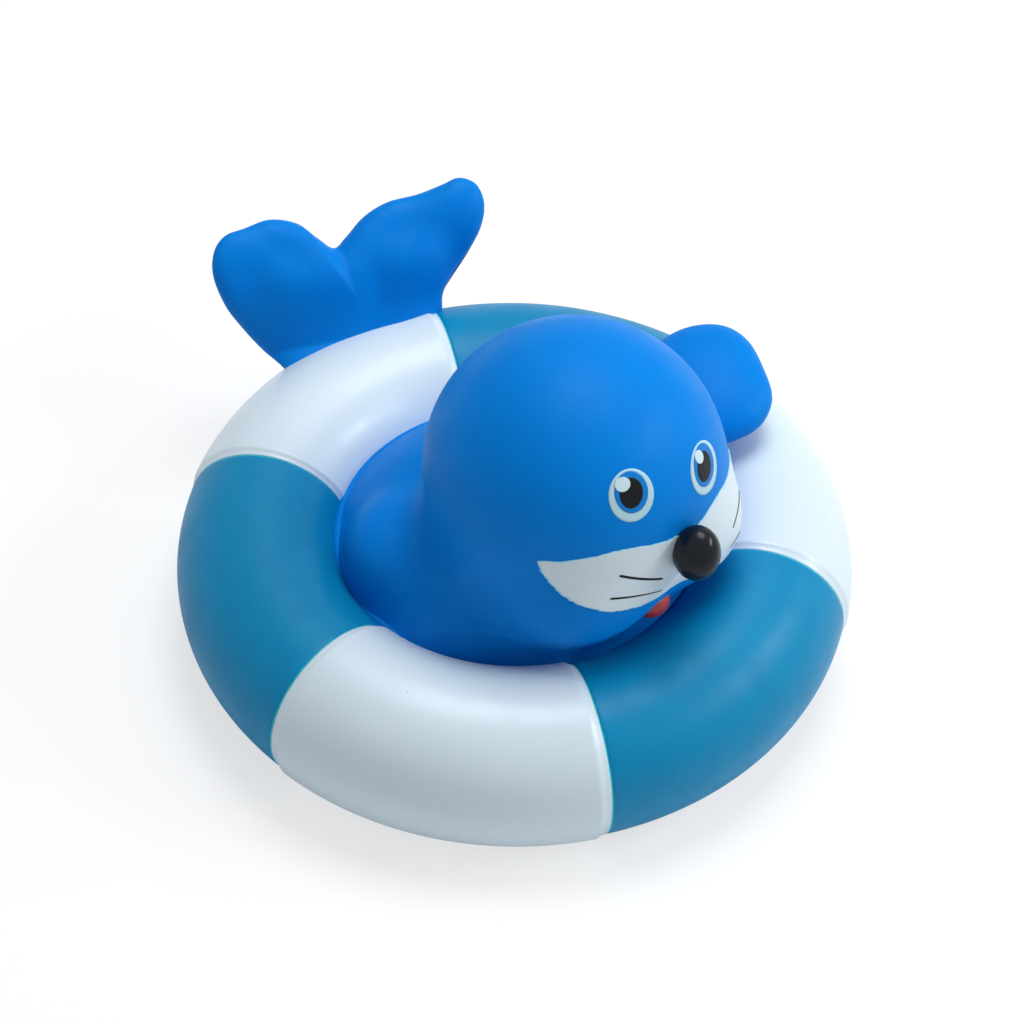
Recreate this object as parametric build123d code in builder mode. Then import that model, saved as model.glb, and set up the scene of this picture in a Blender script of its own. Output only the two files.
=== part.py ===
from build123d import *
from math import cos, radians, sin, sqrt
import os

# A bath squirt toy in soft cast vinyl: a seal lying in a swim ring, hollow, with a squirt hole in its belly.
# Millimetres and degrees. The ring's axis is the Z axis while the pieces are made, the floor is Z = 0, the
# seal looks along -Y, and its own left side is +X. The last section moves the toy to its final origin.

# Driving dimensions of the swim ring
ring_radius = 42.0
tube_radius = 10.4
foot_flat = 0.4
wall = 2.0
band_angle = 60.0
band_raise = 0.35
band_margin = 1.4
land_lap = 1.0
bead_radius = 1.1

# Driving dimensions of the seal's body and head
back_rise = 11.55
belly_recess = 0.6
belly_corner = 7.2
squirt_hole_radius = 1.0
rim_height = 1.95
neck_blend = 1.6
head_radius = 17.9
head_overhang = 5.9
head_clearance = 2.15
face_turn = -4.6
muzzle_radius = 14.2
muzzle_stand = 1.3
muzzle_drop = 2.2
nose_radius = 3.0
nose_rise = 1.5
nose_stand = 1.3

# Driving dimensions of the painted and printed face
coat = 0.25
ink = 0.12
tongue_width = 3.8
tongue_length = 3.2
tongue_thickness = 0.7
tongue_drop = 11.2
eye_white_size = (5.9, 7.2)
eye_iris_size = (4.4, 5.5)
eye_pupil_size = (3.1, 4.0)
eye_glint_size = (2.1, 2.3)
iris_rise = 0.45
glint_across = -1.25
glint_rise = 1.6
right_eye_turn, right_eye_lift = -24.3, 32.8
left_eye_turn, left_eye_lift = 15.2, 25.8
whisker_width = 0.35

# Driving dimensions of the tail and the flippers. The outlines are half ones, in the plane of the fin
tail_direction = 74.0
tail_seat_angle = 60.0
tail_shift = 1.5
tail_facing = 60.0
tail_lean = 40.0
tail_thickness = 7.0
tail_edge = 3.0
tail_sink = 7.0
tail_root_half = 10.8
tail_notch = 10.4
fluke_side = [(10.8, 0.5), (18.9, 10.2), (18.2, 17.6), (9.1, 16.2)]
fluke_rounding = [9.0, 6.0, 3.4, 9.0]
notch_rounding = 2.5
flipper_direction = -26.0
flipper_lift = 12.0
flipper_roll = 8.0
flipper_inset = 8.0
flipper_root_half = 4.6
flipper_side = [(8.9, 10.5), (9.2, 22.6)]
flipper_rounding = [9.0, 5.4]
flipper_thickness = 7.0
flipper_edge = 3.2
tucked_radius = 8.0
tucked_direction = 160.0
tucked_inset = 7.6
tucked_sink = 5.6

# Places worked out from the driving dimensions
tube_line = ring_radius - tube_radius
tube_height = tube_radius - foot_flat
land_radius = ring_radius - 2 * tube_radius + land_lap
land_half = sqrt(tube_radius**2 - (tube_radius - land_lap) ** 2)
upper_crease = tube_height + land_half
lower_crease = tube_height - land_half
dome_radius = (land_radius**2 + back_rise**2) / (2 * back_rise)
dome_centre = upper_crease + back_rise - dome_radius
head_forward = land_radius + head_overhang - head_radius
head_centre = (0, -head_forward, upper_crease + head_clearance + head_radius)
facing = (sin(radians(face_turn)), -cos(radians(face_turn)), 0)
across = (cos(radians(face_turn)), sin(radians(face_turn)), 0)
margin_line = (cos(radians(band_margin)), sin(radians(band_margin)), 0)
margin_normal = (sin(radians(band_margin)), -cos(radians(band_margin)), 0)
face = Plane(origin=head_centre, x_dir=across, z_dir=facing)
muzzle_centre = face.from_local_coords((0, -muzzle_drop, head_radius + muzzle_stand - muzzle_radius))
nose_centre = face.from_local_coords((0, nose_rise, head_radius + muzzle_stand + nose_stand))


def on_back(inset, direction, sink=0.0):
    """A point on the seal's back, or below it, a given distance in from the ring and in a given direction."""
    out = land_radius - inset
    return Vector(out, 0, dome_centre + sqrt(dome_radius**2 - out**2) - sink).rotate(Axis.Z, direction)


def ring_section(outer):
    """The tube's wall in section: hollow, open to the belly at the land, and flat where it stands."""
    with Locations((tube_line, tube_height)):
        Circle(outer)
        Circle(tube_radius - wall, mode=Mode.SUBTRACT)
    with Locations((land_radius, tube_height)):
        Rectangle(2 * wall, 2 * (land_half - rim_height), mode=Mode.SUBTRACT)
        Rectangle(tube_radius, 3 * tube_radius, align=(Align.MAX, Align.CENTER), mode=Mode.SUBTRACT)
    with Locations((tube_line, 0)):
        Rectangle(3 * tube_radius, tube_radius, align=(Align.CENTER, Align.MAX), mode=Mode.SUBTRACT)


# One sixth of the ring: the plain teal length of tube
with BuildPart() as teal_length:
    with BuildSketch(Plane.XZ):
        ring_section(tube_radius)
    revolve(axis=Axis.Z, revolution_arc=band_angle)

# The white length has a band moulded proud of the tube, a little in from each seam
with BuildPart() as white_length:
    add(teal_length.part)
    with BuildSketch(Plane((0, 0, 0), x_dir=margin_line, z_dir=margin_normal)):
        ring_section(tube_radius + band_raise)
    revolve(axis=Axis.Z, revolution_arc=band_angle - 2 * band_margin)

with BuildPart() as teal_bands:
    with PolarLocations(0, 3):
        add(teal_length.part)

with BuildPart() as white_bands:
    with PolarLocations(0, 3, start_angle=band_angle):
        add(white_length.part)


# The ring with its inside filled, which every neighbour is trimmed to
with BuildPart() as ring_solid:
    with BuildSketch(Plane.XZ):
        with Locations((tube_line, tube_height)):
            Circle(tube_radius)
        with Locations((land_radius, tube_height)):
            Rectangle(tube_radius, 2 * tube_radius, align=(Align.MAX, Align.CENTER), mode=Mode.SUBTRACT)
    revolve(axis=Axis.Z)
    add(white_bands.part)


def seal_form(inset):
    """The seal's dome, head and muzzle as one form, a given distance in from its skin."""
    with BuildPart() as form:
        with BuildSketch(Plane.XY.offset(upper_crease - rim_height)):
            Circle(land_radius - inset)
        extrude(amount=2 * back_rise)
        with Locations((0, 0, dome_centre)):
            Sphere(dome_radius - inset, mode=Mode.INTERSECT)
        with Locations(head_centre):
            Sphere(head_radius - inset)
        if inset == 0:
            creases = form.edges().filter_by(GeomType.CIRCLE).filter_by(lambda e: e.radius < head_radius)
            fillet(creases.sort_by(Axis.Z)[-1], neck_blend)
        with Locations(muzzle_centre):
            Sphere(muzzle_radius - inset)
    return form.part


# The upper shell of the seal: back, neck, head and muzzle in one skin, with a bead round its foot
with BuildPart() as body_shell:
    add(seal_form(0))
    with BuildSketch(Plane.XZ):
        with Locations((land_radius, upper_crease)):
            Circle(bead_radius)
    revolve(axis=Axis.Z)
    add(seal_form(wall), mode=Mode.SUBTRACT)
    add(ring_solid.part, mode=Mode.SUBTRACT)

# The same form with its inside filled, for the pieces that lie on the seal's skin
with BuildPart() as seal_solid:
    add(seal_form(0))
    add(body_shell.part)

# The belly: a shallow pan that closes the ring's hole from below, with the squirt hole in its middle
with BuildPart() as belly_pan:
    with BuildSketch(Plane.XZ):
        with BuildLine():
            floor = Line((0, belly_recess), (land_radius - belly_corner, belly_recess))
            side = TangentArc(floor @ 1, (land_radius, lower_crease), tangent=floor % 1)
            Line(side @ 1, (land_radius, lower_crease + rim_height))
            Line((land_radius, lower_crease + rim_height), (land_radius - wall, lower_crease + rim_height))
            Line((land_radius - wall, lower_crease + rim_height), (land_radius - wall, lower_crease))
            inner_side = TangentArc(floor @ 1 + (0, wall), (land_radius - wall, lower_crease), tangent=(1, 0))
            Line(inner_side @ 0, (0, belly_recess + wall))
            Line((0, belly_recess + wall), floor @ 0)
        make_face()
    revolve(axis=Axis.Z)
    with Locations((0, 0, belly_recess)):
        Hole(squirt_hole_radius)
    add(ring_solid.part, mode=Mode.SUBTRACT)

# The tail: two flukes in one thick fin, leaning back from the ring's rear
spread = Vector(1, 0, 0).rotate(Axis.Z, tail_facing - 90)
away = Vector(0, 1, 0).rotate(Axis.Z, tail_facing - 90)
tail_normal = spread.cross(Vector(0, 0, cos(radians(tail_lean))) + away * sin(radians(tail_lean)))
tail_seat = Vector(tube_line + tube_radius * cos(radians(tail_seat_angle)), 0,
                   tube_height + tube_radius * sin(radians(tail_seat_angle)))
tail_plane = Plane(origin=tail_seat.rotate(Axis.Z, tail_direction) - spread * tail_shift, x_dir=spread,
                   z_dir=tail_normal)


def fin(plane, side, rounding, middle, middle_rounding, thickness, edge, root):
    """A flat fin, the same on both sides of its plane's Y axis, with every edge rounded except at its root."""
    outline = [*side, *middle, *[(-x, y) for x, y in reversed(side)]]
    with BuildPart() as flat_fin:
        with BuildSketch(plane):
            with BuildLine():
                FilletPolyline(*outline, radius=[*rounding, *middle_rounding, *reversed(rounding)], close=True)
            make_face()
        extrude(amount=thickness / 2, both=True)
        skins = flat_fin.faces().filter_by(GeomType.PLANE).sort_by(Axis(plane.origin, plane.z_dir))
        rims = [rim for skin in (skins[0], skins[-1]) for rim in skin.edges()]
        fillet([rim for rim in rims if plane.to_local_coords(rim.center()).Y > root], edge)
    return flat_fin.part


with BuildPart() as tail_flukes:
    add(fin(tail_plane, [(tail_root_half, -tail_sink), *fluke_side], [0, *fluke_rounding], [(0, tail_notch)],
            [notch_rounding], tail_thickness, tail_edge, 1 - tail_sink))
    add(ring_solid.part, mode=Mode.SUBTRACT)

# The raised flipper: a plump paddle that rises from the left shoulder and hangs just clear of the ring
flipper_out = Vector(cos(radians(flipper_lift)), 0, sin(radians(flipper_lift))).rotate(Axis.Z, flipper_direction)
flipper_across = Vector(0, 1, 0).rotate(Axis.Z, flipper_direction)
flipper_normal = flipper_out.cross(flipper_across).rotate(Axis((0, 0, 0), flipper_out), flipper_roll)
flipper_plane = Plane(origin=on_back(flipper_inset, flipper_direction), z_dir=flipper_normal,
                      x_dir=flipper_out.cross(flipper_normal))

with BuildPart() as raised_flipper:
    add(fin(flipper_plane, [(flipper_root_half, 0), *flipper_side], [0, *flipper_rounding], [], [],
            flipper_thickness, flipper_edge, 1))
    add(seal_solid.part, mode=Mode.SUBTRACT)
    add(ring_solid.part, mode=Mode.SUBTRACT)

# The tucked flipper: the right one lies folded against the body as a low rounded swelling
with BuildPart() as tucked_flipper:
    with Locations(on_back(tucked_inset, tucked_direction, tucked_sink)):
        Sphere(tucked_radius)
    split(bisect_by=Plane.XY.offset(upper_crease), keep=Keep.TOP)
    add(seal_solid.part, mode=Mode.SUBTRACT)
    add(ring_solid.part, mode=Mode.SUBTRACT)

# The white paint of the muzzle: a mask that widens from the nose to a point on each cheek
mask_half = [(0, 3.7), (3.2, 4.6), (7.6, 4.1), (12.9, 2.6), (15.0, 1.6), (14.4, -1.6), (12.8, -4.4), (10.6, -6.8),
             (7.6, -8.4), (4.6, -7.6), (2.3, -5.6), (0, -3.0)]

def face_form(layers):
    """The round of the head and the muzzle with layers of paint or ink of the given thickness on it."""
    with BuildPart() as form:
        with Locations(head_centre):
            Sphere(head_radius + layers)
        with Locations(muzzle_centre):
            Sphere(muzzle_radius + layers)
    return form.part


with BuildPart() as muzzle_coat:
    with BuildSketch(face):
        with BuildLine():
            Polyline(*mask_half, *[(-x, y) for x, y in reversed(mask_half[1:-1])], close=True)
        make_face()
    extrude(amount=2 * head_radius)
    add(face_form(coat), mode=Mode.INTERSECT)
    add(seal_solid.part, mode=Mode.SUBTRACT)

# The tongue: a small red tab that shows under the muzzle
with BuildPart() as tongue:
    with BuildSketch(face):
        with Locations((0, -tongue_drop)):
            Ellipse(tongue_width / 2, tongue_length / 2)
    extrude(amount=2 * head_radius)
    add(face_form(tongue_thickness), mode=Mode.INTERSECT)
    add(seal_solid.part, mode=Mode.SUBTRACT)
    add(muzzle_coat.part, mode=Mode.SUBTRACT)

# The nose: a round ball, sunk a little into the muzzle
with BuildPart() as nose:
    with Locations(nose_centre):
        Sphere(nose_radius)
    add(seal_solid.part, mode=Mode.SUBTRACT)
    add(muzzle_coat.part, mode=Mode.SUBTRACT)


def printed_spot(place, size, offset, layer):
    """One printed ellipse on the head: a film of ink over the layers that were printed before it."""
    with BuildPart() as spot:
        with BuildSketch(place):
            with Locations(offset):
                Ellipse(size[0] / 2, size[1] / 2)
        extrude(amount=2 * head_radius)
        add(face_form((layer + 1) * ink), mode=Mode.INTERSECT)
        add(face_form(layer * ink), mode=Mode.SUBTRACT)
    return spot.part


# The eyes: four films of ink each, one over the other
prints = {}
for side, turn, lift in (("right", right_eye_turn, right_eye_lift), ("left", left_eye_turn, left_eye_lift)):
    look = Vector(0, -cos(radians(lift)), sin(radians(lift))).rotate(Axis.Z, turn)
    level = Vector(1, 0, 0).rotate(Axis.Z, turn)
    eye = Plane(origin=head_centre, x_dir=level, z_dir=look)
    prints[f"{side}_eye_white"] = printed_spot(eye, eye_white_size, (0, 0), 0)
    prints[f"{side}_eye_iris"] = printed_spot(eye, eye_iris_size, (0, iris_rise), 1)
    prints[f"{side}_eye_pupil"] = printed_spot(eye, eye_pupil_size, (0, iris_rise), 2)
    prints[f"{side}_eye_glint"] = printed_spot(eye, eye_glint_size, (glint_across, glint_rise), 3)

# The whiskers: two fine printed lines on each cheek
whisker_lines = [((4.0, -1.1), (9.0, 0.7)), ((3.6, -4.0), (9.2, -3.4))]
for side, sign in (("left", 1), ("right", -1)):
    with BuildPart() as whiskers:
        with BuildSketch(face):
            for inner, outer in whisker_lines:
                with BuildLine() as line:
                    Line((sign * inner[0], inner[1]), (sign * outer[0], outer[1]))
                trace(line.line, line_width=whisker_width)
        extrude(amount=2 * head_radius)
        add(face_form(coat + ink), mode=Mode.INTERSECT)
        add(face_form(coat), mode=Mode.SUBTRACT)
    prints[f"{side}_whiskers"] = whiskers.part

# The finished toy, moved so that the origin is on the floor under the middle of its box
pieces = {
    "white_bands": white_bands.part,
    "teal_bands": teal_bands.part,
    "body_shell": body_shell.part,
    "belly_pan": belly_pan.part,
    "tail_flukes": tail_flukes.part,
    "raised_flipper": raised_flipper.part,
    "tucked_flipper": tucked_flipper.part,
    "muzzle_coat": muzzle_coat.part,
    "tongue": tongue.part,
    "nose": nose.part,
    **prints,
}
front = min(piece.bounding_box().min.Y for piece in pieces.values())
back = max(piece.bounding_box().max.Y for piece in pieces.values())
to_origin = Location((0, -(front + back) / 2, 0))

os.makedirs("parts", exist_ok=True)
for name, piece in pieces.items():
    placed = piece.moved(to_origin)
    placed.label = name
    export_step(placed, f"parts/{name}.step")
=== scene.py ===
import math

import bmesh
import bpy
import numpy as np
from mathutils import Matrix, Vector


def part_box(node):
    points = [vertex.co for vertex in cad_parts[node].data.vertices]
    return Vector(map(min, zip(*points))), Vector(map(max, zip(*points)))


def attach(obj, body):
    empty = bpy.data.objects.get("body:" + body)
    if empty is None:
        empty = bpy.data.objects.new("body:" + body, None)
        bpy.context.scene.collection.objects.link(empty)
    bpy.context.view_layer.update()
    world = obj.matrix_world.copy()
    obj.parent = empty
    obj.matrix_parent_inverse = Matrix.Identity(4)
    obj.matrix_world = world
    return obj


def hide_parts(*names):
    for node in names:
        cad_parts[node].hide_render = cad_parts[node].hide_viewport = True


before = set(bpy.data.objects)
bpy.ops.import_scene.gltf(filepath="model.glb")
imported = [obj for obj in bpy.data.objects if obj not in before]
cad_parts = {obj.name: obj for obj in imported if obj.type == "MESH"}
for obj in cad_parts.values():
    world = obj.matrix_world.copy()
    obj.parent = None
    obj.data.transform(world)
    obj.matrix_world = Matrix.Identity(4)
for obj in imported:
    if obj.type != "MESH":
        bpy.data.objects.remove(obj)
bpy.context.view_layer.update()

# The viewpoint: a small product table under soft light, seen from the front right and well above. Lengths in
# this file are millimetres from the ring's own axis on the floor; MM turns them into metres, and RING_AXIS
# is where that axis stands in the frame, read from the round belly that closes the ring.
MM = 0.001
belly_low, belly_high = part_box("belly_pan")
RING_AXIS = np.array([(belly_low.x + belly_high.x) / 2, (belly_low.y + belly_high.y) / 2, 0.0])
VIEW_TURN, VIEW_RISE, VIEW_ROLL = math.radians(-47.14), math.radians(46.9), math.radians(1.3)
VIEW_DISTANCE, VIEW_SIDE, VIEW_LIFT = 456.5, -0.03, 12.87
SENSOR, LENS, NEAREST_SEEN = 36.0, 126.08, 0.02


def place(point):
    """A point given in millimetres from the ring's axis, as metres in the frame."""
    return Vector(np.asarray(point, float) * MM + RING_AXIS)


back = Vector((math.sin(VIEW_TURN) * math.cos(VIEW_RISE), -math.cos(VIEW_TURN) * math.cos(VIEW_RISE),
               math.sin(VIEW_RISE)))
level = Vector((math.cos(VIEW_TURN), math.sin(VIEW_TURN), 0.0))
upright = back.cross(level)
view_right = level * math.cos(VIEW_ROLL) + upright * math.sin(VIEW_ROLL)
view_up = upright * math.cos(VIEW_ROLL) - level * math.sin(VIEW_ROLL)
camera_data = bpy.data.cameras.new("camera")
camera_data.sensor_width = SENSOR
camera_data.lens = LENS
camera_data.clip_start = NEAREST_SEEN
camera = bpy.data.objects.new("camera", camera_data)
camera.matrix_world = Matrix((
    (view_right.x, view_up.x, back.x, 0), (view_right.y, view_up.y, back.y, 0),
    (view_right.z, view_up.z, back.z, 0), (0, 0, 0, 1)))
camera.location = place(back * VIEW_DISTANCE + view_right * VIEW_SIDE + view_up * VIEW_LIFT)
bpy.context.scene.collection.objects.link(camera)
bpy.context.scene.camera = camera

# The toy stands on white paper in a white room. To the camera the paper is brightened a little, so that it
# keeps only a faint shadow. The lamps are a wide soft box above the toy, which shades what lies under the head,
# and a narrow one in front, to the camera's right, for the highlights.
PAPER = (0.93, 0.94, 0.95, 1.0)
PAPER_HALF, PAPER_GLOW, PAPER_SHARE = 3.0, 1.06, 0.62
PAPER_ROUGHNESS, ROOM_COLOR = 0.9, (0.93, 0.96, 1.0, 1.0)
ROOM_STRENGTH, WHITE_STRENGTH = 0.33, 1.0
LAMP_AIM = (0, 0, 20)
SOFT_BOXES = {
    "front": dict(at=(390, -400, 400), size=(0.36, 0.05), power=1.8, color=(1.0, 0.99, 0.97)),
    "top": dict(at=(150, 70, 600), size=(0.32, 0.32), power=2.3, color=(0.97, 0.99, 1.0)),
}

paper_mesh = bpy.data.meshes.new("paper")
paper_mesh.from_pydata([(x * PAPER_HALF, y * PAPER_HALF, 0) for x, y in ((-1, -1), (1, -1), (1, 1), (-1, 1))],
                       [], [(0, 1, 2, 3)])
paper = bpy.data.objects.new("paper", paper_mesh)
bpy.context.scene.collection.objects.link(paper)
paper_material = bpy.data.materials.new("white paper")
paper_material.use_nodes = True
nodes, links = paper_material.node_tree.nodes, paper_material.node_tree.links
paper_shader = nodes["Principled BSDF"]
paper_shader.inputs["Base Color"].default_value = PAPER
paper_shader.inputs["Roughness"].default_value = PAPER_ROUGHNESS
glow, rays = nodes.new("ShaderNodeEmission"), nodes.new("ShaderNodeLightPath")
mixed = nodes.new("ShaderNodeMixShader")
glow.inputs["Strength"].default_value = PAPER_GLOW
share = nodes.new("ShaderNodeMath")
share.operation = "MULTIPLY"
share.inputs[1].default_value = PAPER_SHARE
links.new(rays.outputs["Is Camera Ray"], share.inputs[0])
links.new(share.outputs[0], mixed.inputs["Fac"])
links.new(paper_shader.outputs[0], mixed.inputs[1])
links.new(glow.outputs[0], mixed.inputs[2])
links.new(mixed.outputs[0], nodes["Material Output"].inputs["Surface"])
paper_mesh.materials.append(paper_material)

world = bpy.data.worlds.new("room")
world.use_nodes = True
bpy.context.scene.world = world
nodes, links = world.node_tree.nodes, world.node_tree.links
room_light = nodes["Background"]
room_light.inputs["Color"].default_value = ROOM_COLOR
room_light.inputs["Strength"].default_value = ROOM_STRENGTH
seen_light = nodes.new("ShaderNodeBackground")
seen_light.inputs["Strength"].default_value = WHITE_STRENGTH
rays, mixed = nodes.new("ShaderNodeLightPath"), nodes.new("ShaderNodeMixShader")
seen = [nodes.new("ShaderNodeMath"), nodes.new("ShaderNodeMath")]
for either in seen:
    either.operation = "MAXIMUM"
links.new(rays.outputs["Is Camera Ray"], seen[0].inputs[0])
links.new(rays.outputs["Is Glossy Ray"], seen[0].inputs[1])
links.new(seen[0].outputs[0], seen[1].inputs[0])
links.new(rays.outputs["Is Transmission Ray"], seen[1].inputs[1])
links.new(seen[1].outputs[0], mixed.inputs["Fac"])
links.new(room_light.outputs[0], mixed.inputs[1])
links.new(seen_light.outputs[0], mixed.inputs[2])
links.new(mixed.outputs[0], nodes["World Output"].inputs["Surface"])

for lamp_name, lamp in SOFT_BOXES.items():
    lamp_data = bpy.data.lights.new(lamp_name, "AREA")
    lamp_data.shape = "RECTANGLE"
    lamp_data.size, lamp_data.size_y = lamp["size"]
    lamp_data.energy = lamp["power"]
    lamp_data.color = lamp["color"]
    soft_box = bpy.data.objects.new(lamp_name, lamp_data)
    soft_box.location = place(lamp["at"])
    soft_box.rotation_euler = (place(LAMP_AIM) - soft_box.location).to_track_quat("-Z", "Y").to_euler()
    bpy.context.scene.collection.objects.link(soft_box)
bpy.context.scene.view_settings.view_transform = "Standard"

# The swim ring is the fat tube of the vinyl casting, with three lengths sprayed teal and three sprayed white.
# The white lengths carry a band moulded a little proud, which stops short of each seam, and the tube has a
# narrow flat foot where it stands.
RING_RADIUS, TUBE_RADIUS, FOOT_FLAT, RING_WALL = 42.0, 10.4, 0.4, 1.8
LAND_RADIUS = 22.2
LENGTH_ANGLE, BAND_MARGIN, BAND_RAISE, BAND_STEP = 60.0, 1.45, 0.34, 0.28
SEAM_DEPTH, SEAM_WIDTH = 0.10, 0.28
FAR_FROM_EDGE = 9.0
TUBE_LINE, TUBE_HEIGHT = RING_RADIUS - TUBE_RADIUS, TUBE_RADIUS - FOOT_FLAT
WHITE_SPRAY, WHITE_MOTTLED = (0.68, 0.79, 0.86, 1), (0.65, 0.765, 0.84, 1)
WHITE_UNDER, WHITE_SPECK = (0.30, 0.70, 0.86, 1), (0.25, 0.36, 0.45, 1)
TEAL_SPRAY, TEAL_MOTTLED = (0.001, 0.26, 0.50, 1), (0.001, 0.21, 0.43, 1)
TEAL_FRINGE, TEAL_SPECK = (0.01, 0.52, 0.68, 1), (0.02, 0.42, 0.60, 1)


def smooth_step(low, high, value):
    """0 below low, 1 above high and a soft rise between."""
    t = np.clip((np.asarray(value, float) - low) / (high - low), 0, 1)
    return t * t * (3 - 2 * t)


def new_piece(name, points, faces, material, replaced=(), edge_distances=None):
    """A mesh piece from points in millimetres, riding on the toy's one body, with each point's distance from the
    paint's edge kept for the spray's fringe."""
    mesh = bpy.data.meshes.new(name)
    mesh.from_pydata([tuple(p) for p in np.asarray(points) * MM + RING_AXIS], [], faces)
    mesh.validate()
    mesh.shade_smooth()
    piece = bpy.data.objects.new(name, mesh)
    bpy.context.scene.collection.objects.link(piece)
    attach(piece, "root")
    if replaced:
        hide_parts(*replaced)
    mesh.materials.append(material)
    distances = np.full(len(points), FAR_FROM_EDGE) if edge_distances is None else edge_distances
    layer = mesh.attributes.new("edge_distance", "FLOAT", "POINT")
    layer.data.foreach_set("value", np.asarray(distances, np.float32))
    return piece


def grid_faces(rows, columns, closed=False):
    """Quads over a grid of points kept row by row; a closed grid joins its last column to its first."""
    reach = columns if closed else columns - 1
    return [(r * columns + c, r * columns + (c + 1) % columns,
             (r + 1) * columns + (c + 1) % columns, (r + 1) * columns + c)
            for r in range(rows - 1) for c in range(reach)]


def grain_group():
    """Fine moulding grain and slow waviness for a Bump node, and a soft mask of mottling, in object space."""
    group = bpy.data.node_groups.new("moulded grain", "ShaderNodeTree")
    for label, kind, default in (("Grain Size", "NodeSocketFloat", 2600.0), ("Wave Size", "NodeSocketFloat", 260.0),
                                 ("Wave Amount", "NodeSocketFloat", 0.35)):
        socket = group.interface.new_socket(label, in_out="INPUT", socket_type=kind)
        socket.default_value = default
    for label in ("Height", "Mottle"):
        group.interface.new_socket(label, in_out="OUTPUT", socket_type="NodeSocketFloat")
    nodes, links = group.nodes, group.links
    entry, leave = nodes.new("NodeGroupInput"), nodes.new("NodeGroupOutput")
    where = nodes.new("ShaderNodeTexCoord")
    grain, wave = nodes.new("ShaderNodeTexNoise"), nodes.new("ShaderNodeTexNoise")
    for texture, size in ((grain, "Grain Size"), (wave, "Wave Size")):
        texture.inputs["Detail"].default_value = 3.0
        links.new(where.outputs["Object"], texture.inputs["Vector"])
        links.new(entry.outputs[size], texture.inputs["Scale"])
    blend = nodes.new("ShaderNodeMix")
    blend.data_type = "FLOAT"
    links.new(entry.outputs["Wave Amount"], blend.inputs["Factor"])
    links.new(grain.outputs["Fac"], blend.inputs["A"])
    links.new(wave.outputs["Fac"], blend.inputs["B"])
    links.new(blend.outputs["Result"], leave.inputs["Height"])
    links.new(wave.outputs["Fac"], leave.inputs["Mottle"])
    return group


FRINGE_HOLD, SPECK_REACH, RAGGED_SIZE, RAGGED_DETAIL = 0.55, (0.05, 0.10), 1500.0, 4.0


def wear_group():
    """A mask of sparse specks and one of a ragged strip along an edge, from the piece's own edge distance."""
    group = bpy.data.node_groups.new("spray wear", "ShaderNodeTree")
    for label, default in (("Edge Distance", 1.0), ("Fringe Width", 0.25), ("Raggedness", 0.5),
                           ("Speck Size", 420.0), ("Speck Amount", 0.08)):
        socket = group.interface.new_socket(label, in_out="INPUT", socket_type="NodeSocketFloat")
        socket.default_value = default
    for label in ("Fringe", "Specks"):
        group.interface.new_socket(label, in_out="OUTPUT", socket_type="NodeSocketFloat")
    nodes, links = group.nodes, group.links
    entry, leave = nodes.new("NodeGroupInput"), nodes.new("NodeGroupOutput")
    where, ragged = nodes.new("ShaderNodeTexCoord"), nodes.new("ShaderNodeTexNoise")
    ragged.inputs["Scale"].default_value = RAGGED_SIZE
    ragged.inputs["Detail"].default_value = RAGGED_DETAIL
    links.new(where.outputs["Object"], ragged.inputs["Vector"])
    spread = nodes.new("ShaderNodeMath")
    spread.operation = "MULTIPLY_ADD"
    links.new(ragged.outputs["Fac"], spread.inputs[0])
    links.new(entry.outputs["Raggedness"], spread.inputs[1])
    links.new(entry.outputs["Edge Distance"], spread.inputs[2])
    reach = nodes.new("ShaderNodeMath")
    reach.operation = "ADD"
    links.new(entry.outputs["Fringe Width"], reach.inputs[0])
    links.new(entry.outputs["Raggedness"], reach.inputs[1])
    fringe = nodes.new("ShaderNodeMapRange")
    fringe.interpolation_type = "SMOOTHSTEP"
    fringe.inputs["To Min"].default_value = 1.0
    fringe.inputs["To Max"].default_value = 0.0
    half = nodes.new("ShaderNodeMath")
    half.operation = "MULTIPLY"
    half.inputs[1].default_value = FRINGE_HOLD
    links.new(reach.outputs[0], half.inputs[0])
    links.new(spread.outputs[0], fringe.inputs["Value"])
    links.new(half.outputs[0], fringe.inputs["From Min"])
    links.new(reach.outputs[0], fringe.inputs["From Max"])
    links.new(fringe.outputs["Result"], leave.inputs["Fringe"])
    cells = nodes.new("ShaderNodeTexVoronoi")
    links.new(where.outputs["Object"], cells.inputs["Vector"])
    links.new(entry.outputs["Speck Size"], cells.inputs["Scale"])
    chosen = nodes.new("ShaderNodeSeparateColor")
    links.new(cells.outputs["Color"], chosen.inputs["Color"])
    rare = nodes.new("ShaderNodeMath")
    rare.operation = "LESS_THAN"
    links.new(chosen.outputs["Red"], rare.inputs[0])
    links.new(entry.outputs["Speck Amount"], rare.inputs[1])
    near = nodes.new("ShaderNodeMapRange")
    near.inputs["From Min"].default_value, near.inputs["From Max"].default_value = SPECK_REACH
    near.inputs["To Min"].default_value = 1.0
    near.inputs["To Max"].default_value = 0.0
    links.new(cells.outputs["Distance"], near.inputs["Value"])
    both = nodes.new("ShaderNodeMath")
    both.operation = "MULTIPLY"
    links.new(rare.outputs[0], both.inputs[0])
    links.new(near.outputs["Result"], both.inputs[1])
    links.new(both.outputs[0], leave.inputs["Specks"])
    return group


GRAIN, WEAR = grain_group(), wear_group()


COAT_ROUGHNESS, SKIN_GLOW_RADIUS, SKIN_GLOW_SCALE = 0.3, (0.2, 0.6, 1.0), 0.0015
ROUGHNESS_LESS, ROUGHNESS_MORE, MOTTLE_RANGE, RELIEF_HEIGHT = 0.04, 0.05, (0.3, 0.7), 0.0002


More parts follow.
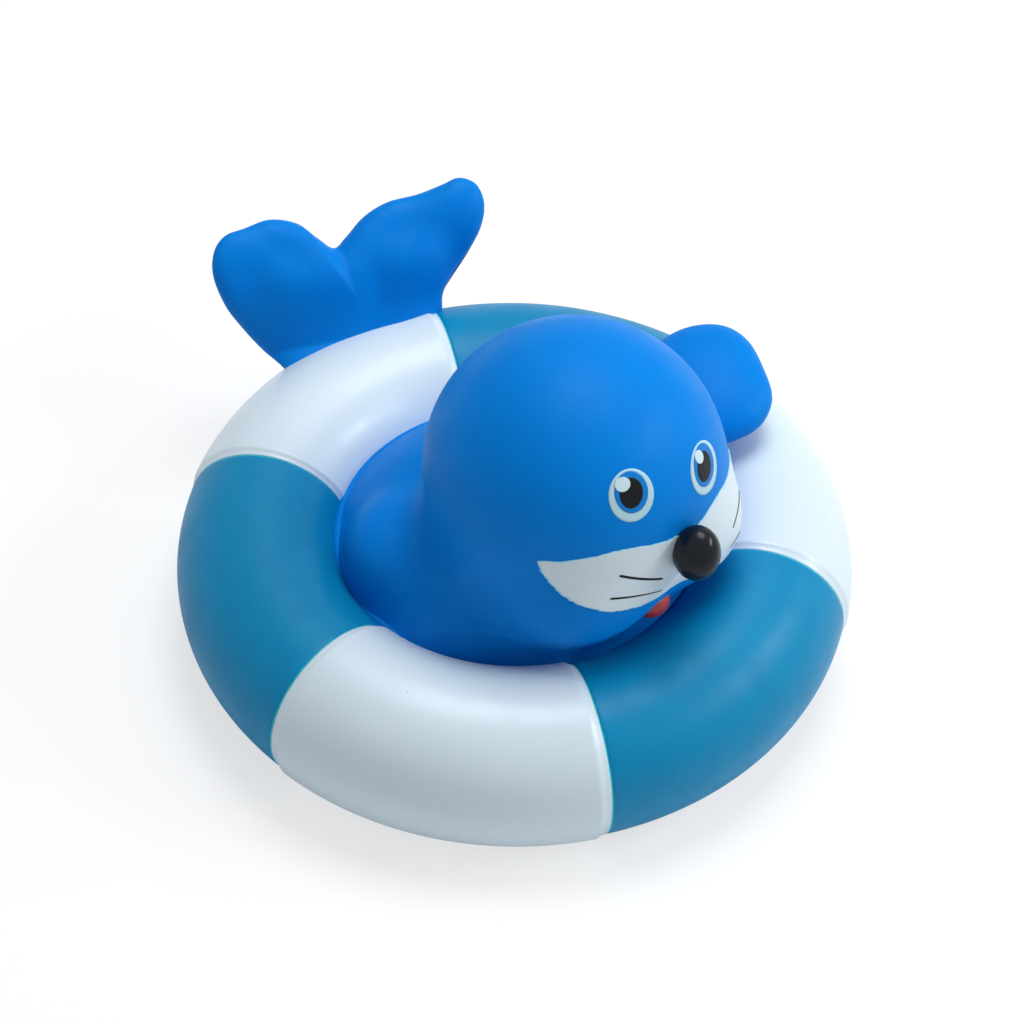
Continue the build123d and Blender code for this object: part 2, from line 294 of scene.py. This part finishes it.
def finish_material(name, color, mottled, fringe_color, speck_color, roughness, bump, grain_size=2600.0,
                    fringe=0.0, raggedness=0.0, specks=0.0, coat=0.0, subsurface=0.0, specular=0.5):
    """A moulded and sprayed finish: slow colour mottling, a fringe along the edges, rare specks and fine grain."""
    material = bpy.data.materials.new(name)
    material.use_nodes = True
    nodes, links = material.node_tree.nodes, material.node_tree.links
    shader = nodes["Principled BSDF"]
    shader.inputs["Coat Weight"].default_value = coat
    shader.inputs["Coat Roughness"].default_value = COAT_ROUGHNESS
    shader.inputs["Specular IOR Level"].default_value = specular
    shader.inputs["Subsurface Weight"].default_value = subsurface
    shader.inputs["Subsurface Radius"].default_value = SKIN_GLOW_RADIUS
    shader.inputs["Subsurface Scale"].default_value = SKIN_GLOW_SCALE
    grain, wear = nodes.new("ShaderNodeGroup"), nodes.new("ShaderNodeGroup")
    grain.node_tree, wear.node_tree = GRAIN, WEAR
    grain.inputs["Grain Size"].default_value = grain_size
    wear.inputs["Fringe Width"].default_value = fringe
    wear.inputs["Raggedness"].default_value = raggedness
    wear.inputs["Speck Amount"].default_value = specks
    distance = nodes.new("ShaderNodeAttribute")
    distance.attribute_name = "edge_distance"
    links.new(distance.outputs["Fac"], wear.inputs["Edge Distance"])
    previous = None
    for mask, shade in ((grain.outputs["Mottle"], mottled), (wear.outputs["Specks"], speck_color),
                        (wear.outputs["Fringe"], fringe_color)):
        blend = nodes.new("ShaderNodeMix")
        blend.data_type = "RGBA"
        blend.inputs[7].default_value = shade
        if previous is None:
            blend.inputs[6].default_value = color
        else:
            links.new(previous, blend.inputs[6])
        links.new(mask, blend.inputs[0])
        previous = blend.outputs[2]
    links.new(previous, shader.inputs["Base Color"])
    rough = nodes.new("ShaderNodeMapRange")
    rough.inputs["From Min"].default_value, rough.inputs["From Max"].default_value = MOTTLE_RANGE
    rough.inputs["To Min"].default_value = roughness - ROUGHNESS_LESS
    rough.inputs["To Max"].default_value = roughness + ROUGHNESS_MORE
    links.new(grain.outputs["Mottle"], rough.inputs["Value"])
    links.new(rough.outputs["Result"], shader.inputs["Roughness"])
    relief = nodes.new("ShaderNodeBump")
    relief.inputs["Strength"].default_value = bump
    relief.inputs["Distance"].default_value = RELIEF_HEIGHT
    links.new(grain.outputs["Height"], relief.inputs["Height"])
    links.new(relief.outputs["Normal"], shader.inputs["Normal"])
    return material


white_spray = finish_material("white spray", WHITE_SPRAY, WHITE_MOTTLED, WHITE_UNDER, WHITE_SPECK, roughness=0.32,
                              bump=0.10, fringe=0.10, raggedness=0.22, specks=0.02, subsurface=0.05, specular=0.4)
teal_spray = finish_material("teal spray", TEAL_SPRAY, TEAL_MOTTLED, TEAL_FRINGE, TEAL_SPECK, roughness=0.40,
                             bump=0.16, grain_size=3400.0, fringe=0.08, raggedness=0.22, specks=0.02, specular=0.18)


def ring_length(name, start, raised, material, node):
    """One sixth of the tube as a wall of vinyl, from seam to seam and from land to land."""
    turn_steps, girth_steps = 121, 150
    turn = np.linspace(0, LENGTH_ANGLE, turn_steps)
    land = math.acos((LAND_RADIUS - TUBE_LINE) / TUBE_RADIUS)
    girth = np.linspace(land, -land, girth_steps)
    turns, girths = np.meshgrid(turn, girth, indexing="ij")
    seam = np.minimum(turns, LENGTH_ANGLE - turns) * math.radians(1) * TUBE_LINE
    inner_edge = BAND_MARGIN * math.radians(1) * TUBE_LINE
    radius = TUBE_RADIUS - SEAM_DEPTH * (1 - smooth_step(0, SEAM_WIDTH, seam))
    if raised:
        radius = radius + BAND_RAISE * smooth_step(inner_edge - BAND_STEP / 2, inner_edge + BAND_STEP / 2, seam)
    angle = np.radians(turns + start)
    out = TUBE_LINE + radius * np.cos(girths)
    up = np.maximum(TUBE_HEIGHT + radius * np.sin(girths), 0.0)
    points = np.stack([out * np.cos(angle), out * np.sin(angle), up], -1).reshape(-1, 3)
    piece = new_piece(name, points, grid_faces(turn_steps, girth_steps), material, (node,), seam.ravel())
    wall = piece.modifiers.new("wall", "SOLIDIFY")
    wall.thickness = RING_WALL * MM
    wall.offset = -1
    return piece


for length_name, start in (("back", 60), ("left_front", 180), ("right", 300)):
    ring_length(f"white_length_{length_name}", start, True, white_spray, "white_bands")
for length_name, start in (("right_back", 0), ("left", 120), ("front", 240)):
    ring_length(f"teal_length_{length_name}", start, False, teal_spray, "teal_bands")

# The seal's body and head are one skin of soft vinyl, blue right through: a low back that fills the ring, with a
# shoulder on its right, a full chest, a round head, and a muzzle with two cheeks and a chin. A small bead runs
# round the foot where the casting meets the ring.
VINYL_BLUE, VINYL_MOTTLED, VINYL_SPECK = (0.0, 0.225, 0.72, 1), (0.0, 0.20, 0.68, 1), (0.01, 0.38, 0.86, 1)
DOME_HEIGHT, BEAD_LINE, BEAD_HEIGHT, BEAD_RADIUS = 26.0, 21.7, 14.3, 0.95
CREASE_HEIGHT = TUBE_HEIGHT + math.sqrt(TUBE_RADIUS**2 - (TUBE_LINE - LAND_RADIUS) ** 2)
HEAD_SIZES, HEAD_SHIFT = (18.1, 18.2, 17.9), np.array([-0.3, 0.35, 0])
HEAD_CENTRE, FACE_TURN = np.array([0, -10.2, 34.5]), math.radians(-4.6)
FACE_ACROSS = np.array([math.cos(FACE_TURN), math.sin(FACE_TURN), 0])
FACE_OUT = np.array([math.sin(FACE_TURN), -math.cos(FACE_TURN), 0])
FACE_UP = np.array([0, 0, 1.0])
BEAD_ARC, BEAD_TURN_STEPS, BEAD_GIRTH_STEPS = (-90, 210), 360, 25
BODY_HEART, BODY_FLOOR, BODY_GIRTH, BODY_REACH = np.array([0, -6.0, 23.5]), 12.6, 22.2, 60.0
MARCH_STEPS, MARCH_SHARE, TINY = 90, 0.8, 1e-9
dome_rise = DOME_HEIGHT - CREASE_HEIGHT
DOME_RADIUS = (LAND_RADIUS**2 + dome_rise**2) / (2 * dome_rise)
MUZZLE_AT, MUZZLE_SIZES = (0, -1.2, 1.96), (13.75, 12.2, 12.6)
CHEEK_SIDE, CHEEK_UP, CHEEK_OUT, CHEEK_SIZES = 7.4, -7.1, 9.0, (8.6, 6.8, 7.8)
CHIN_AT, CHIN_SIZES = (0, -9.4, 8.0), (8.4, 5.4, 4.8)
CHEST_AT, CHEST_SIZES = np.array([-0.8, -6.5, 16.0]), (20.6, 15.7, 15.0)
SHOULDER_AT, SHOULDER_SIZES, SHOULDER_TURN = np.array([-15.0, 6.0, 18.8]), (5.6, 6.4, 5.0), math.radians(160)
CHEEK_JOIN, MUZZLE_JOIN, CHIN_JOIN, FACE_JOIN = 2.0, 4.0, 2.5, 4.5
SHOULDER_JOIN, CHEST_JOIN, NECK_JOIN = 4.5, 3.0, 6.5


def ellipsoid(points, centre, sizes, axes=None):
    """Roughly the distance of points from an ellipsoid's skin, in millimetres; negative inside."""
    local = points - centre
    if axes is not None:
        local = local @ np.asarray(axes).T
    sizes = np.asarray(sizes, float)
    reach = np.linalg.norm(local / sizes, axis=-1)
    slope = np.linalg.norm(local / sizes**2, axis=-1)
    return reach * (reach - 1) / np.maximum(slope, TINY)


def joined(a, b, softness):
    """The union of two forms with the crease between them rounded over about the given width."""
    h = np.clip(0.5 + 0.5 * (b - a) / softness, 0, 1)
    return b * (1 - h) + a * h - softness * h * (1 - h)


def on_face(x, y, out):
    """A point in the face's own axes, across, up and out from the head's centre."""
    return HEAD_CENTRE + FACE_ACROSS * x + FACE_UP * y + FACE_OUT * out


FACE_AXES = (FACE_ACROSS, FACE_UP, FACE_OUT)
SHOULDER_AXES = ((math.cos(SHOULDER_TURN), math.sin(SHOULDER_TURN), 0.0),
                 (-math.sin(SHOULDER_TURN), math.cos(SHOULDER_TURN), 0.0), (0.0, 0.0, 1.0))


def seal_form(points):
    """Distance from the seal's skin: head, muzzle, cheeks and chin, then back, chest and shoulder."""
    head = ellipsoid(points, HEAD_CENTRE + HEAD_SHIFT, HEAD_SIZES)
    muzzle = ellipsoid(points, on_face(*MUZZLE_AT), MUZZLE_SIZES, FACE_AXES)
    cheeks = joined(*(ellipsoid(points, on_face(side, CHEEK_UP, CHEEK_OUT), CHEEK_SIZES, FACE_AXES)
                      for side in (-CHEEK_SIDE, CHEEK_SIDE)), CHEEK_JOIN)
    chin = ellipsoid(points, on_face(*CHIN_AT), CHIN_SIZES, FACE_AXES)
    back_dome = ellipsoid(points, np.array([0, 0, DOME_HEIGHT - DOME_RADIUS]), (DOME_RADIUS,) * 3)
    shoulder = ellipsoid(points, SHOULDER_AT, SHOULDER_SIZES, SHOULDER_AXES)
    chest = ellipsoid(points, CHEST_AT, CHEST_SIZES)
    girth = np.hypot(points[..., 0], points[..., 1]) - BODY_GIRTH
    snout = joined(joined(muzzle, cheeks, MUZZLE_JOIN), chin, CHIN_JOIN)
    lower = joined(np.maximum(back_dome, girth), shoulder, SHOULDER_JOIN)
    lower = joined(lower, np.maximum(chest, girth), CHEST_JOIN)
    whole = joined(joined(head, snout, FACE_JOIN), lower, NECK_JOIN)
    return np.maximum(whole, BODY_FLOOR - points[..., 2])


def march(starts, directions, reach):
    """Walks from each start along its direction to the seal's skin, and returns the points found."""
    along = np.zeros(len(starts))
    for _ in range(MARCH_STEPS):
        gap = seal_form(starts + directions * along[:, None])
        along = np.minimum(along + MARCH_SHARE * gap, reach)
    return starts + directions * along[:, None]


def round_ball(subdivisions):
    """Points and faces of a unit ball with even triangles."""
    ball = bmesh.new()
    bmesh.ops.create_icosphere(ball, subdivisions=subdivisions, radius=1.0)
    points = np.array([v.co[:] for v in ball.verts])
    faces = [tuple(v.index for v in face.verts) for face in ball.faces]
    ball.free()
    return points, faces


outward, skin_faces = round_ball(7)
skin_points = march(BODY_HEART + outward * BODY_REACH, -outward, BODY_REACH)
blue_vinyl = finish_material("blue vinyl", VINYL_BLUE, VINYL_MOTTLED, VINYL_BLUE, VINYL_SPECK, roughness=0.46,
                             bump=0.10, grain_size=3800.0, specks=0.006, subsurface=0.12, specular=0.07)
new_piece("seal_skin", skin_points, skin_faces, blue_vinyl, ("body_shell", "tucked_flipper"))

bead_turns = np.radians(np.linspace(0, 360, BEAD_TURN_STEPS, endpoint=False))
bead_girths = np.radians(np.linspace(*BEAD_ARC, BEAD_GIRTH_STEPS))
girth_grid, turn_grid = np.meshgrid(bead_girths, bead_turns, indexing="ij")
bead_out = BEAD_LINE + BEAD_RADIUS * np.cos(girth_grid)
bead_points = np.stack([bead_out * np.cos(turn_grid), bead_out * np.sin(turn_grid),
                        BEAD_HEIGHT + BEAD_RADIUS * np.sin(girth_grid)], -1).reshape(-1, 3)
bead_faces = grid_faces(BEAD_GIRTH_STEPS, BEAD_TURN_STEPS, closed=True)
bead = new_piece("foot_bead", bead_points, bead_faces, blue_vinyl)
bead.data.flip_normals()

# The belly is the flat underside of the casting inside the ring, with the hole that the toy squirts through.
# Its solid is already the right shape, so it only takes the vinyl's finish.
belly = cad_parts["belly_pan"]
belly.data.materials.clear()
belly.data.materials.append(blue_vinyl)
belly.data.shade_smooth()

# The tail is a thick two-lobed fin cast with the ring, leaning back from its rear. The lobes are full in the
# middle, thin towards a soft rim and a little hollow on the front, their outer tips curl forwards, and the root
# goes down into the tube.
TAIL_FACING, TAIL_LEAN, TAIL_PLACE = math.radians(-30), math.radians(40), math.radians(74)
TAIL_OUT, TAIL_LOW = 36.8, 19.0
TAIL_CURL, TAIL_CURL_FROM, TAIL_TUCK_FROM = 0.010, 6.0, -0.5
TAIL_OUTLINE = [(-12.3, -2.4), (-14.3, 0.2), (-16.3, 3.2), (-18.2, 6.6), (-19.2, 10.6), (-18.6, 13.6), (-16.8, 15.4),
                (-14.0, 15.9), (-10.6, 16.4), (-7.2, 15.3), (-5.0, 13.1), (-3.0, 11.3), (-1.2, 12.4), (1.6, 14.6),
                (5.0, 15.9), (9.0, 16.2), (12.4, 16.9), (14.6, 17.4), (16.6, 16.2), (17.2, 13.6), (16.3, 10.6),
                (14.2, 7.6), (11.8, 4.8), (10.4, 2.8), (9.9, -0.6), (8.6, -4.8), (-7.0, -6.8), (-10.8, -5.0)]
TAIL_HEART, TAIL_THICKNESS, TAIL_SET_BACK, TAIL_TUCK = (-1.0, 3.0), 7.4, 2.6, 0.9
TAIL_HOLLOWS = ((-14.2, 7.6, 3.2, 4.5, 1.0), (12.0, 7.6, 2.6, 4.5, 0.9), (-9.0, 12.0, 4.0, 2.6, 0.5),
                (6.0, 12.4, 4.5, 2.4, 0.5), (1.2, 6.5, 2.6, 5.0, 0.7))
tail_spread = np.array([math.cos(TAIL_FACING), math.sin(TAIL_FACING), 0])
tail_away = np.array([-math.sin(TAIL_FACING), math.cos(TAIL_FACING), 0])
tail_rise = tail_away * math.sin(TAIL_LEAN) + np.array([0, 0, math.cos(TAIL_LEAN)])
tail_normal = np.cross(tail_spread, tail_rise)
tail_seat = np.array([TAIL_OUT * math.cos(TAIL_PLACE), TAIL_OUT * math.sin(TAIL_PLACE), TAIL_LOW])


def smooth_outline(points, count):
    """A closed smooth curve through given points, with evenly spaced samples."""
    points = np.asarray(points, float)
    before, after, beyond = np.roll(points, 1, 0), np.roll(points, -1, 0), np.roll(points, -2, 0)
    fine = []
    for t in np.linspace(0, 1, 24, endpoint=False):
        fine.append(0.5 * (2 * points + (after - before) * t
                           + (2 * before - 5 * points + 4 * after - beyond) * t**2
                           + (3 * points - before - 3 * after + beyond) * t**3))
    curve = np.stack(fine, 1).reshape(-1, 2)
    closed = np.vstack([curve, curve[:1]])
    run = np.concatenate([[0], np.cumsum(np.linalg.norm(np.diff(closed, axis=0), axis=1))])
    even = np.linspace(0, run[-1], count, endpoint=False)
    return np.stack([np.interp(even, run, closed[:, k]) for k in (0, 1)], -1)


def fan_faces(rings, count, first=0):
    """Faces of a fan of rings round one middle point, whose index is first."""
    faces = [(first, first + 1 + c, first + 1 + (c + 1) % count) for c in range(count)]
    faces += [(first + 1 + r * count + c, first + 1 + (r + 1) * count + c,
               first + 1 + (r + 1) * count + (c + 1) % count, first + 1 + r * count + (c + 1) % count)
              for r in range(rings - 1) for c in range(count)]
    return faces


def pillow(outline, heart, thickness, to_space, fullness=2.4, count=220, rings=44):
    """A closed padded form: two fans from the heart to one shared rim, thick inside and round at the rim."""
    rim = smooth_outline(outline, count)
    heart = np.asarray(heart, float)
    share = np.sin(np.linspace(0, math.pi / 2, rings + 1))[1:]
    front = [to_space(heart[None], np.array([thickness / 2]))]
    rear = [to_space(heart[None], np.array([-thickness / 2]))]
    for s in share:
        flat = heart + (rim - heart) * s
        height = np.full(count, thickness / 2 * max(1 - s**fullness, 0) ** 0.5)
        front.append(to_space(flat, height))
        if s < share[-1]:
            rear.append(to_space(flat, -height))
    front_points, rear_points = np.vstack(front), np.vstack(rear)
    faces = fan_faces(rings, count)
    base = len(front_points)
    back_faces = [tuple(reversed(face)) for face in fan_faces(rings - 1, count, base)]
    last_front, last_rear = 1 + (rings - 1) * count, base + 1 + (rings - 2) * count
    seam = [(last_rear + c, last_rear + (c + 1) % count, last_front + (c + 1) % count, last_front + c)
            for c in range(count)]
    return np.vstack([front_points, rear_points]), faces + back_faces + seam


def tail_space(flat, height):
    """Tail-plane coordinates to space, with hollows, curled tips and the root tucked into the ring."""
    side, up = flat[:, 0] - TAIL_HEART[0], flat[:, 1]
    curl = TAIL_CURL * np.maximum(np.abs(side) - TAIL_CURL_FROM, 0) ** 2 * smooth_step(2, 14, up)
    hollow = sum(depth * np.exp(-((flat[:, 0] - u) / wide) ** 2 - ((flat[:, 1] - v) / tall) ** 2)
                 for u, v, wide, tall, depth in TAIL_HOLLOWS)
    root = TAIL_TUCK * np.maximum(TAIL_TUCK_FROM - up, 0) - TAIL_SET_BACK * (1 - smooth_step(-2, 9, up))
    lift = height + curl - hollow * (height > 0) + root
    return tail_seat + flat[:, :1] * tail_spread + flat[:, 1:] * tail_rise + lift[:, None] * tail_normal


tail_points, tail_faces = pillow(TAIL_OUTLINE, TAIL_HEART, TAIL_THICKNESS, tail_space)
new_piece("tail_fin", tail_points, tail_faces, blue_vinyl, ("tail_flukes",))

# The raised flipper is a plump paddle on the seal's left shoulder, cast hollow with the body. It hangs just
# clear of the ring, and a short stem joins it to the shoulder.
FLIPPER_HEART = np.array([27.6, -6.6, 25.4])
FLIPPER_LONG = np.array([0.40, 0.90, 0.16])
FLIPPER_WIDE = np.array([0.88, -0.40, 0.16])
FLIPPER_OUTLINE = [(-8.3, 0.6), (-7.6, 4.2), (-4.8, 6.9), (-0.6, 7.7), (4.2, 7.6), (7.6, 5.6), (9.2, 1.6),
                   (8.6, -3.0), (6.0, -7.0), (2.5, -12.0), (-2.5, -12.0), (-6.0, -7.4), (-7.7, -3.4)]
FLIPPER_MIDDLE, FLIPPER_THICKNESS, FLIPPER_FULLNESS = (0, -0.5), 7.0, 2.0
flipper_long = FLIPPER_LONG / np.linalg.norm(FLIPPER_LONG)
flipper_normal = np.cross(FLIPPER_WIDE, flipper_long)
flipper_normal = flipper_normal / np.linalg.norm(flipper_normal)
flipper_wide = np.cross(flipper_long, flipper_normal)


def flipper_space(flat, height):
    """Flipper-plane coordinates, along and across the paddle, to space."""
    return (FLIPPER_HEART + flat[:, :1] * flipper_long + flat[:, 1:] * flipper_wide
            + height[:, None] * flipper_normal)


flipper_points, flipper_faces = pillow(FLIPPER_OUTLINE, FLIPPER_MIDDLE, FLIPPER_THICKNESS, flipper_space,
                                       FLIPPER_FULLNESS)
new_piece("raised_flipper_skin", flipper_points, flipper_faces, blue_vinyl, ("raised_flipper",))

# The muzzle's white is sprayed through a mask over both cheeks, so its rim is a little ragged and the film is
# thinner there. It narrows behind the nose and ends in a point on each cheek.
MASK_OUTLINE = [(-0.9, 2.8), (1.4, 2.3), (3.2, 2.3), (5.4, 2.8), (7.7, 2.9), (9.6, 2.5), (12.0, 2.1), (14.2, 1.4),
                (15.0, 0.0), (14.4, -3.0), (13.0, -5.6), (10.8, -7.8), (8.0, -8.9), (5.4, -8.8), (3.4, -8.0),
                (1.6, -7.0), (0.2, -6.6), (-2.4, -6.4), (-4.1, -6.1), (-6.0, -5.7), (-8.1, -5.1), (-9.9, -4.6),
                (-11.4, -3.9), (-12.7, -3.2), (-13.8, -2.3), (-14.5, -1.2), (-15.0, 0.3), (-15.3, 2.2), (-13.8, 2.7),
                (-12.5, 3.1), (-11.2, 3.4), (-9.8, 3.7), (-8.2, 3.9), (-6.6, 3.8), (-4.9, 3.5), (-3.0, 3.1)]
MASK_HEART, MASK_FILM, MASK_RAGGED, MASK_POINTS, RAGGED_RUN = (0, -1.5), 0.10, 0.11, 900, 5
DRAWING_OUT, DRAWING_REACH, SLOPE_STEP = 40.0, 60.0, 0.02
RIM_OVERLAP, RIM_SUNK = 0.002, -0.05
film_random = np.random.default_rng(11)


def face_ray(flat, across, upward, outward_line):
    """Where lines straight back from a flat drawing in front of the head meet the seal's skin."""
    start = HEAD_CENTRE + flat[:, :1] * across + flat[:, 1:] * upward + outward_line * DRAWING_OUT
    return march(start, np.tile(-outward_line, (len(flat), 1)), DRAWING_REACH)


def skin_normal(points):
    """The outward direction of the seal's skin at points on it."""
    slopes = np.stack([seal_form(points + axis * SLOPE_STEP) - seal_form(points - axis * SLOPE_STEP)
                       for axis in np.eye(3)], -1)
    return slopes / np.linalg.norm(slopes, axis=-1, keepdims=True)


def film(name, rim, heart, axes, thickness, node, material, rings):
    """A thin film on the skin inside a rim: rings from its heart out, with the last one tucked into the skin."""
    heart = np.asarray(heart, float)
    count = len(rim)
    shares = np.linspace(0, 1, rings + 1)[1:]
    flat = np.vstack([heart[None]] + [heart + (rim - heart) * s for s in shares] + [rim + (rim - heart) * RIM_OVERLAP])
    surface = face_ray(flat, *axes)
    height = np.full(len(flat), thickness)
    height[-count:] = RIM_SUNK
    points = surface + skin_normal(surface) * height[:, None]
    edge = np.linalg.norm(rim - heart, axis=1)
    distances = np.concatenate([[edge.mean()], np.concatenate([edge * (1 - s) for s in shares]), np.zeros(count)])
    new_piece(name, points, fan_faces(rings + 1, count), material, (node,), distances)


mask_rim = smooth_outline(MASK_OUTLINE, MASK_POINTS)
wobble = np.tile(film_random.normal(0, 1, MASK_POINTS), 3)
wobble = np.convolve(wobble, np.ones(RAGGED_RUN) / RAGGED_RUN, "same")[MASK_POINTS:2 * MASK_POINTS]
mask_rim = mask_rim + mask_rim / np.linalg.norm(mask_rim, axis=1)[:, None] * wobble[:, None] * MASK_RAGGED
film("muzzle_white", mask_rim, MASK_HEART, FACE_AXES, MASK_FILM, "muzzle_coat", white_spray, 36)

# The tongue is a small red tab that shows under the middle of the muzzle.
TONGUE_AT, TONGUE_HALF = (-1.1, -10.9, 14.7), (2.3, 1.8, 1.9)
TONGUE_RED, TONGUE_MOTTLED, TONGUE_EDGE = (0.42, 0.022, 0.035, 1), (0.36, 0.018, 0.03, 1), (0.30, 0.02, 0.05, 1)
red_spray = finish_material("red spray", TONGUE_RED, TONGUE_MOTTLED, TONGUE_EDGE, TONGUE_RED, roughness=0.38,
                            bump=0.12, fringe=0.10, raggedness=0.2, coat=0.2)


def egg(name, centre, half, tilt, node, material):
    """A small moulded egg on the face, tilted to the seal's left by an angle in degrees."""
    unit, faces = round_ball(5)
    lean = math.radians(tilt)
    wide, tall, deep = (unit * half).T
    across = wide * math.cos(lean) + tall * math.sin(lean)
    upward = tall * math.cos(lean) - wide * math.sin(lean)
    points = [on_face(centre[0] + x, centre[1] + y, centre[2] + z) for x, y, z in zip(across, upward, deep)]
    new_piece(name, points, faces, material, (node,))


egg("tongue_tab", TONGUE_AT, TONGUE_HALF, 0.0, "tongue", red_spray)

# The nose is a ball moulded on the muzzle and sprayed gloss black, a little longer than it is wide.
NOSE_AT, NOSE_HALF, NOSE_TILT = (0.42, 0.84, 19.85), (2.6, 3.5, 3.0), 14.0
NOSE_BLACK, NOSE_MOTTLED, NOSE_SPECK = (0.006, 0.009, 0.014, 1), (0.008, 0.012, 0.018, 1), (0.02, 0.03, 0.04, 1)
gloss_black = finish_material("gloss black", NOSE_BLACK, NOSE_MOTTLED, NOSE_BLACK, NOSE_SPECK, roughness=0.22,
                              bump=0.12, grain_size=1500.0, specks=0.01, specular=0.2)
egg("nose_ball", NOSE_AT, NOSE_HALF, NOSE_TILT, "nose", gloss_black)

# Each eye is four pad-printed inks laid one over the other: a white oval, a blue iris, a black pupil, and a
# white glint that runs out over the iris to the white.
EYES = {
    "right": dict(turn=-24.3, lift=32.9, white=((0.0, 0.0), (3.12, 2.78), -94.5),
                  iris=((0.05, 0.40), (2.47, 2.05), -90.0), pupil=((0.0, 0.33), (1.79, 1.42), -101.0),
                  glint=((-0.83, 1.58), (0.93, 0.85), 0.0)),
    "left": dict(turn=17.4, lift=25.3, white=((-0.07, -0.10), (3.20, 2.82), -139.8),
                 iris=((-0.01, 0.25), (2.55, 2.14), -130.2), pupil=((-0.17, 0.17), (1.81, 1.42), -136.3),
                 glint=((-0.28, 1.68), (0.77, 0.82), 0.0)),
}
INK_LIFT, OVAL_POINTS = 0.035, 120


def oval(centre, half, roll):
    """An oval rim round a centre, drawn flat, with its long axis turned from the level line by degrees."""
    turns = np.linspace(0, 2 * math.pi, OVAL_POINTS, endpoint=False)
    along, aside = half[0] * np.cos(turns), half[1] * np.sin(turns)
    c, s = math.cos(math.radians(roll)), math.sin(math.radians(roll))
    return np.stack([centre[0] + along * c - aside * s, centre[1] + along * s + aside * c], -1)


INKS = {
    "white": dict(color=(0.46, 0.70, 0.80, 1), roughness=0.42, slot="white_ink"),
    "iris": dict(color=(0.002, 0.20, 0.62, 1), roughness=0.40, slot="blue_ink"),
    "pupil": dict(color=(0.003, 0.004, 0.006, 1), roughness=0.36, slot="black_ink"),
    "glint": dict(color=(0.60, 0.78, 0.86, 1), roughness=0.42, slot="white_ink"),
}
INK_MOTTLE = 0.94
ink_materials = {}
for ink, look in INKS.items():
    mottled = tuple(c * INK_MOTTLE for c in look["color"][:3]) + (1,)
    ink_materials[ink] = finish_material(f"{ink} ink", look["color"], mottled, look["color"], look["color"],
                                         roughness=look["roughness"], bump=0.05, specular=0.2)
for side, eye in EYES.items():
    turn, lift = math.radians(eye["turn"]), math.radians(eye["lift"])
    gaze = np.array([math.cos(lift) * math.sin(turn), -math.cos(lift) * math.cos(turn), math.sin(lift)])
    level_line = np.array([math.cos(turn), math.sin(turn), 0])
    eye_axes = (level_line, np.cross(gaze, level_line), gaze)
    for order, ink in enumerate(INKS):
        centre, half, roll = eye[ink]
        film(f"{side}_{ink}_print", oval(centre, half, roll), centre, eye_axes, INK_LIFT * (order + 1),
             f"{side}_eye_{ink}", ink_materials[ink], 14)

# The whiskers are two fine pad-printed lines on each cheek, the upper one heavier than the lower.
WHISKERS = {
    "right": [dict(line=((-2.9, -2.8), (-5.8, -1.2), (-8.5, 0.4)), half=0.20, taper=0.1),
              dict(line=((-2.6, -5.2), (-6.4, -3.4), (-9.8, -2.7)), half=0.17, taper=0.6)],
    "left": [dict(line=((9.9, -4.4), (11.4, -3.5), (14.0, -3.3)), half=0.16, taper=0.3),
             dict(line=((9.2, -7.0), (10.5, -6.7), (11.8, -6.8)), half=0.13, taper=0.5)],
}
WHISKER_STEPS, WHISKER_INK, WHISKER_FOOT, WHISKER_BEVEL = 40, 0.035, 0.05, 0.8
WHISKER_END_RISE, WHISKER_END_LEAST = 30, 0.05
for side, whiskers in WHISKERS.items():
    points, faces = [], []
    for whisker in whiskers:
        t = np.linspace(0, 1, WHISKER_STEPS)[:, None]
        start, middle, end = (np.array(corner) for corner in whisker["line"])
        line = start * (1 - t) ** 2 + 2 * middle * t * (1 - t) + end * t**2
        along = np.gradient(line, axis=0)
        aside = np.stack([-along[:, 1], along[:, 0]], -1) / np.linalg.norm(along, axis=1)[:, None]
        from_end = np.minimum(t[:, 0], 1 - t[:, 0])
        blunt = np.sqrt(np.clip(from_end * WHISKER_END_RISE, WHISKER_END_LEAST, 1))
        half = whisker["half"] * (1 - whisker["taper"] * (1 - t[:, 0])) * blunt
        flat = np.vstack([line + aside * half[:, None] * k for k in (-1.0, -WHISKER_BEVEL, WHISKER_BEVEL, 1.0)])
        surface = face_ray(flat, *FACE_AXES)
        top = MASK_FILM + WHISKER_INK
        height = np.repeat([WHISKER_FOOT, top, top, WHISKER_FOOT], WHISKER_STEPS)
        base = sum(len(p) for p in points)
        points.append(surface + skin_normal(surface) * height[:, None])
        faces += [tuple(base + i for i in reversed(face)) for face in grid_faces(4, WHISKER_STEPS)]
    new_piece(f"{side}_whisker_print", np.vstack(points), faces, ink_materials["pupil"], (f"{side}_whiskers",))
